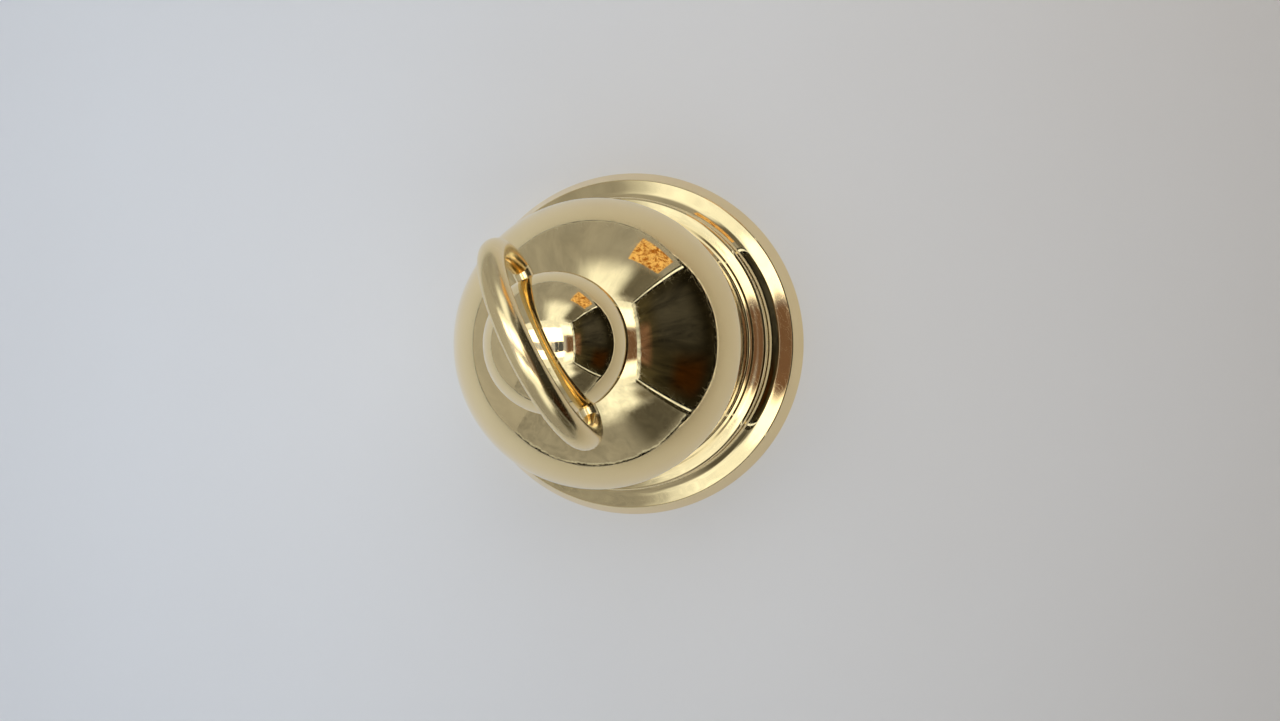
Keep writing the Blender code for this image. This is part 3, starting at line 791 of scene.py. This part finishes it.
def hexNut(name, node, body, sizes, material):
    # six flats, both ends chamfered, a chamfered and threaded bore
    low, high = heights(node)
    across, bore = sizes["flats"] / 2, sizes["bore"]
    mouth, end = bore + nut["mouth"], across * nut["faceShare"]
    rings = [
        (mouth, low, False), (end, low, False), (across, low, True), (across, high, True),
        (end, high, False), (mouth, high, False)
    ]
    threaded = high - low - 2 * nut["mouth"]
    count = int(threaded / nut["pitch"])
    for i in range(count + 1):
        height = high - nut["mouth"] - i * threaded / count
        rings.append((bore, height, False))
        if i < count:
            rings.append((bore + nut["threadDepth"], height - 0.5 * threaded / count, False))
    bm = bmesh.new()
    loops = []
    for radius, height, isHex in rings:
        made = bmesh.ops.create_circle(bm, segments=96, radius=radius * mm)["verts"]
        for vert in made:
            lift = 0.0
            if isHex:
                angle = math.atan2(vert.co.y, vert.co.x)
                reach = across / math.cos((angle % (math.pi / 3)) - math.pi / 6)
                vert.co *= reach / radius
                slope = math.tan(math.radians(nut["chamfer"]))
                lift = (reach - end) * slope * (1 if height == low else -1)
            vert.co.z = (height + lift) * mm
        loops.append([edge for edge in bm.edges if edge.verts[0] in made and edge.verts[1] in made])
    for i, loop in enumerate(loops):
        bmesh.ops.bridge_loops(bm, edges=loop + loops[(i + 1) % len(loops)])
    piece = finishPiece(name, bm, [material], 28)
    return standFor(piece, node, body)


def makeWasher(name, node, sizes, material, sides=128):
    # a disc with rolled edges; crown is how far its rim bulges where it is squeezed
    outer, bore, crown = sizes["outer"], sizes["bore"], sizes["crown"]
    low, high = heights(node)
    half = (high - low) / 2
    rim = [
        (
            outer - crown + crown * math.cos(math.radians(a)),
            low + half + half * math.sin(math.radians(a))
        )
        for a in range(-90, 91, 15)
    ]
    ease = 0.15  # the bore's corners, taken off
    profile = [(bore + ease, low)] + rim + [
        (bore + ease, high), (bore, high - ease), (bore, low + ease)
    ]
    bm = turnedMesh([(r * mm, z * mm) for r, z in profile], sides, closed=True)
    piece = finishPiece(name, bm, [material], 40)
    return standFor(piece, node, "bell")


lockRing = {
    "outer": 3.8, "bore": 2.3, "gap": 0.7, "rise": 0.12, "draft": 0.06, "edge": 0.08, "steps": 96
}


def makeLockWasher(material):
    # a split spring ring: four-sided wire bent round, its two cut ends slightly apart in height
    low, high = heights("lock_washer")
    r = lockRing
    outer, bore, rise, draft = r["outer"], r["bore"], r["rise"], r["draft"]
    bm = bmesh.new()
    corners = [(bore, low), (outer, low + draft), (outer, high - rise - draft), (bore, high - rise)]
    wire = bm.faces.new([bm.verts.new((x * mm, 0, z * mm)) for x, z in corners])
    bmesh.ops.bevel(
        bm, geom=wire.verts[:] + wire.edges[:], offset=r["edge"] * mm, affect="VERTICES", segments=2,
        profile=0.5, material=-1
    )
    turn = math.tau - r["gap"] / ((outer + bore) / 2)
    steps = r["steps"]
    bmesh.ops.spin(
        bm, geom=bm.verts[:] + bm.edges[:] + bm.faces[:], axis=(0, 0, 1), cent=(0, 0, 0), angle=turn,
        steps=steps, dvec=(0, 0, rise / steps * mm)
    )
    piece = finishPiece("lock_ring_split", bm, [material], 35)
    return standFor(piece, "lock_washer", "bell")


def makeTail(material):
    # the turned end that a cord ties to: socketed on the rod, drilled across near its tip
    c = clapper
    low, high = heights("clapper_tail")
    tip = [
        (c["tip"] * math.cos(math.radians(a)), low + c["tip"] + c["tip"] * math.sin(math.radians(a)))
        for a in range(-90, 1, 6)
    ]
    body = buffed(
        tip[1:] + [(c["tail"], high - 0.9), (c["tail"], high), (c["bore"] + 0.1, high)], 0.08, 3
    )
    socket = [(c["bore"], high - 0.2), (c["bore"], high - c["socket"]), (0, high - c["socket"] - 0.3)]
    bm = turnedMesh([(r * mm, z * mm) for r, z in [tip[0]] + [tuple(p) for p in body] + socket], 96)
    bmesh.ops.remove_doubles(bm, verts=bm.verts[:], dist=1e-7)
    bmesh.ops.recalc_face_normals(bm, faces=bm.faces[:])
    tail = addObject("tail", meshFrom(bm, "tail"))
    drill = bmesh.new()
    height = (low + c["lanyardHeight"]) * mm
    lay = Matrix.Translation((0, 0, height)) @ Matrix.Rotation(math.pi / 2, 4, "Y")
    bmesh.ops.create_cone(
        drill, cap_ends=True, segments=40, radius1=c["lanyard"] * mm, radius2=c["lanyard"] * mm,
        depth=9 * mm, matrix=lay
    )
    drillObject = addObject("drill", meshFrom(drill, "drill"))
    cut = tail.modifiers.new("lanyardHole", "BOOLEAN")
    cut.object = drillObject
    cut.operation = "DIFFERENCE"
    cut.solver = "EXACT"
    bm = meshedCopy(tail)
    bpy.data.objects.remove(drillObject)
    piece = finishPiece("tail_turned", bm, [material], 35)
    return standFor(piece, "clapper_tail", "clapper")


fastenings = {
    "gasket": {"outer": 5.5, "bore": 2.3, "crown": 0.35},
    "washer": {"outer": 4.5, "bore": 2.3, "crown": 0.12},
    "crownNut": {"flats": 7.0, "bore": 2.3},
    "lockNut": {"flats": 5.5, "bore": 1.8},
}
toolLines = 0.25 * mm  # a lathe tool's lines are near 0.1 mm, drawn coarser so that they show
plated = makeSatinMetal("zincPlatedSteel", "#b9bcc0", "#9a9da3", 0.30, toolLines)
turnedBrass = makeSatinMetal("turnedBrassClapper", "#d8b56c", "#bd9752", 0.24, toolLines)
leather = makeLeather("tannedLeather")
makeEyebolt(plated)
makeWasher("gasket_leather", "crown_gasket", fastenings["gasket"], leather)
makeWasher("washer_flat", "crown_washer", fastenings["washer"], plated)
makeLockWasher(plated)
hexNut("crown_nut_hex", "crown_nut", "bell", fastenings["crownNut"], plated)
print("stage: eyebolt and its fastenings made")
makeClapperRod(plated)
makeStriker(turnedBrass)
hexNut("lock_nut_hex", "clapper_nut", "clapper", fastenings["lockNut"], turnedBrass)
makeTail(turnedBrass)
print("stage: clapper made")

# the studio: a white cloth tent round the bell, in mm from its mouth's centre, its front open
# to a dim room and lamp strips under its top; the metal mirrors it, and the camera looks through it
tent = {
    "turn": 67.6,            # degrees from the bell's X axis to the tent's front
    "back": -250.0, "front": 230.0, "right": -217.0, "left": 206.0, "top": 367.0,
    "sheetEnd": 169.0,       # where the floor sheet stops and curls up
    "cloth": "#b3b5b8", "shade": "#75746f", "glow": "#f0f8ff", "roomAndShade": "#1a1811",
    "amber": "#fbd089", "rust": "#a86a2a", "flap": "#8a6c5c", "device": "#5d6370", "lamp": "#fffaf2",
    # the floor's two colours carry painted light: cool and bright at the back, warmer and dimmer at the
    # front
    "floorBackCoolLight": "#eaeff6", "floorFrontWarmLight": "#dbd9d7", "sky": "#c9cbcf",
}


def tentPatch(tree, place, low, high, soft, colour, level, under, pattern=None):
    # lays a soft-edged patch of one colour over what is under it, between two corners in mm
    inside = None
    for axis in range(2):
        ramps = []
        for edge, way in ((low[axis], 1), (high[axis], -1)):
            limits = {
                "interpolation_type": "SMOOTHSTEP", "From Min": (edge - soft * way) * mm,
                "From Max": (edge + soft * way) * mm
            }
            ramps.append(addNode(tree, "MapRange", limits, {0: place[axis]}).outputs[0])
        both = addNode(tree, "Math", {"operation": "MULTIPLY"}, {0: ramps[0], 1: ramps[1]}).outputs[0]
        if inside is not None:
            both = addNode(tree, "Math", {"operation": "MULTIPLY"}, {0: inside, 1: both}).outputs[0]
        inside = both
    tint = tuple(channel * level for channel in toLinear(colour)[:3]) + (1.0,)
    mix = addNode(tree, "Mix", {"data_type": "RGBA", 7: tint}, {0: inside, 6: under})
    if pattern:
        tree.links.new(pattern, mix.inputs[7])
    return mix.outputs[2]


def makeTentSide(
    name, axes, base, level, patches, mottle=0.12, grain=45.0, reach=14.0, stretch=1.0, foil=None
):
    # glowing cloth: a base colour clouded by folds, with patches where lamps, shade or objects show
    material, tree = newMaterial(name)
    coords = addNode(tree, "TexCoord")
    hung = addNode(tree, "Mapping", {"Scale": (1, 1, stretch)}, {"Vector": coords.outputs["Object"]})
    folds = addNode(
        tree, "TexNoise",
        {"Scale": 1 / (grain * mm), "Detail": 4.0, "Roughness": 0.6, "Distortion": 0.8},
        {"Vector": hung}
    )
    bent = addNode(
        tree, "VectorMath", {"operation": "MULTIPLY_ADD", 1: (reach * mm,) * 3},
        {0: folds.outputs[1], 2: coords.outputs["Object"]}
    )
    apart = addNode(tree, "SeparateXYZ", {}, {0: bent})
    place = [apart.outputs[axis] for axis in axes]
    tint = tuple(channel * level for channel in toLinear(base)[:3]) + (1.0,)
    colour = addNode(tree, "Mix", {"data_type": "RGBA", 6: tint, 7: tint, 0: 0.5}).outputs[2]
    for low, high, soft, patchColour, patchLevel in patches:
        # the folds shift every edge by half their reach, so corners are given with that taken off
        low, high = [value + reach / 2 for value in low], [value + reach / 2 for value in high]
        colour = tentPatch(tree, place, low, high, soft, patchColour, patchLevel, colour)
    if foil:
        crinkle = addNode(
            tree, "TexNoise",
            {"Scale": 1 / (34 * mm), "Detail": 5.0, "Roughness": 0.55, "Distortion": 2.6},
            {"Vector": coords.outputs["Object"]}
        )
        shine = setRamp(
            addNode(tree, "ValToRGB", {}, {0: crinkle}),
            [(0.42, toLinear(tent["rust"])), (0.54, toLinear(tent["amber"]))]
        )
        colour = tentPatch(
            tree, place, foil[0], foil[1], 2, tent["rust"], 1.0, colour, shine.outputs[0]
        )
    cloud = addNode(
        tree, "MapRange",
        {"From Min": 0.3, "From Max": 0.7, "To Min": 1 - mottle, "To Max": 1 + mottle}, {0: folds}
    )
    glow = addNode(tree, "Emission", {}, {"Color": colour, "Strength": cloud})
    addNode(tree, "OutputMaterial", {}, {0: glow})
    return material


def tentPlane(name, corners, material):
    # one flat side, built in the tent's own directions and then turned with it
    bm = bmesh.new()
    bm.faces.new([bm.verts.new(Vector(c) * mm) for c in corners])
    mesh = meshFrom(bm, name)
    mesh.materials.append(material)
    side = addObject(name, mesh)
    side.rotation_euler.z = math.radians(tent["turn"])
    side.visible_camera = False
    return side


def makeSheetEnd(name):
    # the floor sheet's wavy turned-up edge, with a painted highlight where the curl catches the light,
    # and the unlit table past it
    material, tree = newMaterial(name)
    coords = addNode(tree, "TexCoord")
    wave = addNode(
        tree, "TexNoise", {"Scale": 1 / (70 * mm), "Detail": 2.0}, {"Vector": coords.outputs["Object"]}
    )
    apart = addNode(tree, "SeparateXYZ", {}, {0: coords.outputs["Object"]})
    along = addNode(tree, "Math", {"operation": "MULTIPLY_ADD", 1: 16 * mm}, {0: wave, 2: apart})
    start = (tent["sheetEnd"] + 8) * mm
    bright = addNode(
        tree, "MapRange",
        {"From Min": start + 6 * mm, "From Max": start + 10 * mm, "To Min": 1.0, "To Max": 0.0},
        {0: along}
    )
    colour = addNode(
        tree, "Mix", {"data_type": "RGBA", 6: toLinear(tent["roomAndShade"]), 7: toLinear("#ffffff")},
        {0: bright}
    )
    # the white strip glows as a painted highlight on the curled edge
    glow = addNode(tree, "Emission", {"Strength": 1.1}, {"Color": colour.outputs[2]})
    clear = addNode(tree, "BsdfTransparent")
    past = addNode(
        tree, "MapRange", {"From Min": start - 1 * mm, "From Max": start + 1 * mm}, {0: along}
    )
    both = addNode(tree, "MixShader", {}, {0: past, 1: clear, 2: glow})
    addNode(tree, "OutputMaterial", {}, {0: both})
    return material


def makeFloorCloth(name):
    # plain pale backing sheet with painted light: a little cooler and brighter at the tent's back,
    # under the lamps, than at its front, where warmer light from outside falls
    material, tree = newMaterial(name)
    coords = addNode(tree, "TexCoord")
    turned = addNode(
        tree, "Mapping", {"Rotation": (0, 0, -math.radians(tent["turn"]))},
        {"Vector": coords.outputs["Object"]}
    )
    cloud = addNode(
        tree, "TexNoise", {"Scale": 1 / (60 * mm), "Detail": 3.0}, {"Vector": coords.outputs["Object"]}
    )
    apart = addNode(tree, "SeparateXYZ", {}, {0: turned})
    # painted light: the blend from the cool back colour to the warm front colour along the tent
    towardsWarmLight = addNode(tree, "MapRange", {"From Min": -120 * mm, "From Max": 150 * mm}, {0: apart})
    amount = addNode(tree, "Math", {"operation": "MULTIPLY_ADD", 1: 0.15}, {0: cloud, 2: towardsWarmLight})
    colour = addNode(
        tree, "Mix",
        {"data_type": "RGBA", 6: toLinear(tent["floorBackCoolLight"]), 7: toLinear(tent["floorFrontWarmLight"])},
        {0: amount}
    )
    shader = addNode(tree, "BsdfPrincipled", {"Roughness": 0.8}, {"Base Color": colour.outputs[2]})
    addNode(tree, "OutputMaterial", {}, {0: shader})
    return material


def makeTent():
    t = tent
    back, front, right, left, top = t["back"], t["front"], t["right"], t["left"], t["top"]
    topSide = makeTentSide("tentTopCloth", "XY", "#bcc2d2", 1.14, [
        ((-260, 132), (240, 215), 14, t["glow"], 1.2),
        ((-260, -225), (240, -122), 14, t["glow"], 1.2),
        ((-170, 18), (-56, 128), 5, t["lamp"], 3.4),
        ((-36, 10), (128, 132), 5, t["lamp"], 3.4),
        ((120, 66), (240, 160), 14, t["lamp"], 2.3),
        ((-112, -126), (8, -48), 5, t["lamp"], 3.4),
        ((38, -121), (150, -72), 5, t["lamp"], 3.4),
        ((130, -170), (240, -84), 14, t["lamp"], 2.3),
        ((55, -70), (125, 10), 6, t["device"], 0.9),
        ((150, -96), (245, 62), 22, t["flap"], 0.7),
    ])
    rightSide = makeTentSide("tentRightCloth", "XZ", t["cloth"], 0.71, [
        ((0, 185), (196, 400), 44, t["glow"], 1.25),
        ((80, 20), (245, 205), 34, t["shade"], 0.55),
        ((165, 200), (245, 290), 30, t["shade"], 1.1),
        # painted shade: a dark strip along the wall's foot, where it meets the floor
        ((-260, -20), (245, 7), 1.2, t["roomAndShade"], 0.8),
        ((-260, 9), (245, 15), 2, t["glow"], 0.6),
    ], 0.22, 34.0, 38.0, 0.6)
    leftSide = makeTentSide("tentLeftCloth", "XZ", t["cloth"], 0.77, [
        ((-10, 165), (160, 400), 44, t["glow"], 1.25),
        ((128, 124), (245, 330), 30, t["shade"], 0.8),
        ((-260, -20), (245, 2), 0.7, t["shade"], 0.4),
        ((-260, 3), (245, 6), 1, t["glow"], 0.55),
    ], 0.16, 45.0, 6.0, 0.35, ((97, 28), (207, 126)))
    backSide = makeTentSide(
        "tentBackCloth", "YZ", t["cloth"], 0.92, [((-220, -20), (210, 2), 0.7, t["shade"], 0.5)], 0.08,
        60.0, 4.0
    )
    frontSide = makeTentSide("dimRoom", "YZ", t["roomAndShade"], 2.6, [
        ((-217, -10), (206, 70), 60, t["roomAndShade"], 0.8),
        ((-217, 230), (206, 372), 70, t["roomAndShade"], 6.0),
        ((-20, 60), (150, 230), 44, t["shade"], 0.26),
        ((-150, 30), (-50, 150), 34, t["rust"], 0.07),
        ((-100, 270), (66, 345), 24, t["flap"], 0.75),
        ((-196, 338), (200, 372), 2, t["glow"], 0.8),
        ((-201, -10), (-193, 372), 0.8, t["glow"], 1.2),
        ((192, -10), (200, 372), 0.8, t["glow"], 1.2),
        ((-193, -10), (-185, 345), 1.0, t["roomAndShade"], 0.3),
        ((184, -10), (192, 345), 1.0, t["roomAndShade"], 0.3),
    ], 0.55, 40.0, 3.0, 0.2)
    tentPlane(
        "tentTop", [(back, right, top), (front, right, top), (front, left, top), (back, left, top)],
        topSide
    )
    tentPlane(
        "tentRight", [(back, right, 0), (front, right, 0), (front, right, top), (back, right, top)],
        rightSide
    )
    tentPlane(
        "tentLeft", [(back, left, 0), (front, left, 0), (front, left, top), (back, left, top)], leftSide
    )
    tentPlane(
        "tentBack", [(back, right, 0), (back, left, 0), (back, left, top), (back, right, top)], backSide
    )
    tentPlane(
        "tentFront", [(front, right, 0), (front, left, 0), (front, left, top), (front, right, top)],
        frontSide
    )
    end = t["sheetEnd"] - 10
    sheetEnd = tentPlane(
        "sheetEnd", [(end, right, 0.3), (front, right, 0.3), (front, left, 0.3), (end, left, 0.3)],
        makeSheetEnd("turnedUpSheet")
    )
    sheetEnd.visible_shadow = False  # it shows in the metal only, so the floor under it stays pale
    sheetEnd.visible_diffuse = False
    bm = bmesh.new()
    bmesh.ops.create_grid(bm, x_segments=1, y_segments=1, size=2.0)
    mesh = meshFrom(bm, "floorCloth")
    mesh.materials.append(makeFloorCloth("whiteFloorCloth"))
    floor = addObject("floorCloth", mesh)
    floor.location.z = -0.02 * mm


makeTent()
world = bpy.data.worlds.new("studio")
world.use_nodes = True
world.node_tree.nodes["Background"].inputs["Color"].default_value = toLinear(tent["sky"])
world.node_tree.nodes["Background"].inputs["Strength"].default_value = 1.0
bpy.context.scene.world = world
bpy.context.scene.view_settings.view_transform = "Standard"
print("stage: tent and floor set")

camera = {"place": (12.79, 26.05, 204.36), "turn": (-0.963, 7.519, 64.19), "lens": 26.0}
cameraData = bpy.data.cameras.new("camera")
cameraData.lens = camera["lens"]
cameraData.clip_start = 1 * mm
cameraObject = addObject("camera", cameraData)
cameraObject.location = Vector(camera["place"]) * mm
cameraObject.rotation_euler = [math.radians(angle) for angle in camera["turn"]]
bpy.context.scene.camera = cameraObject
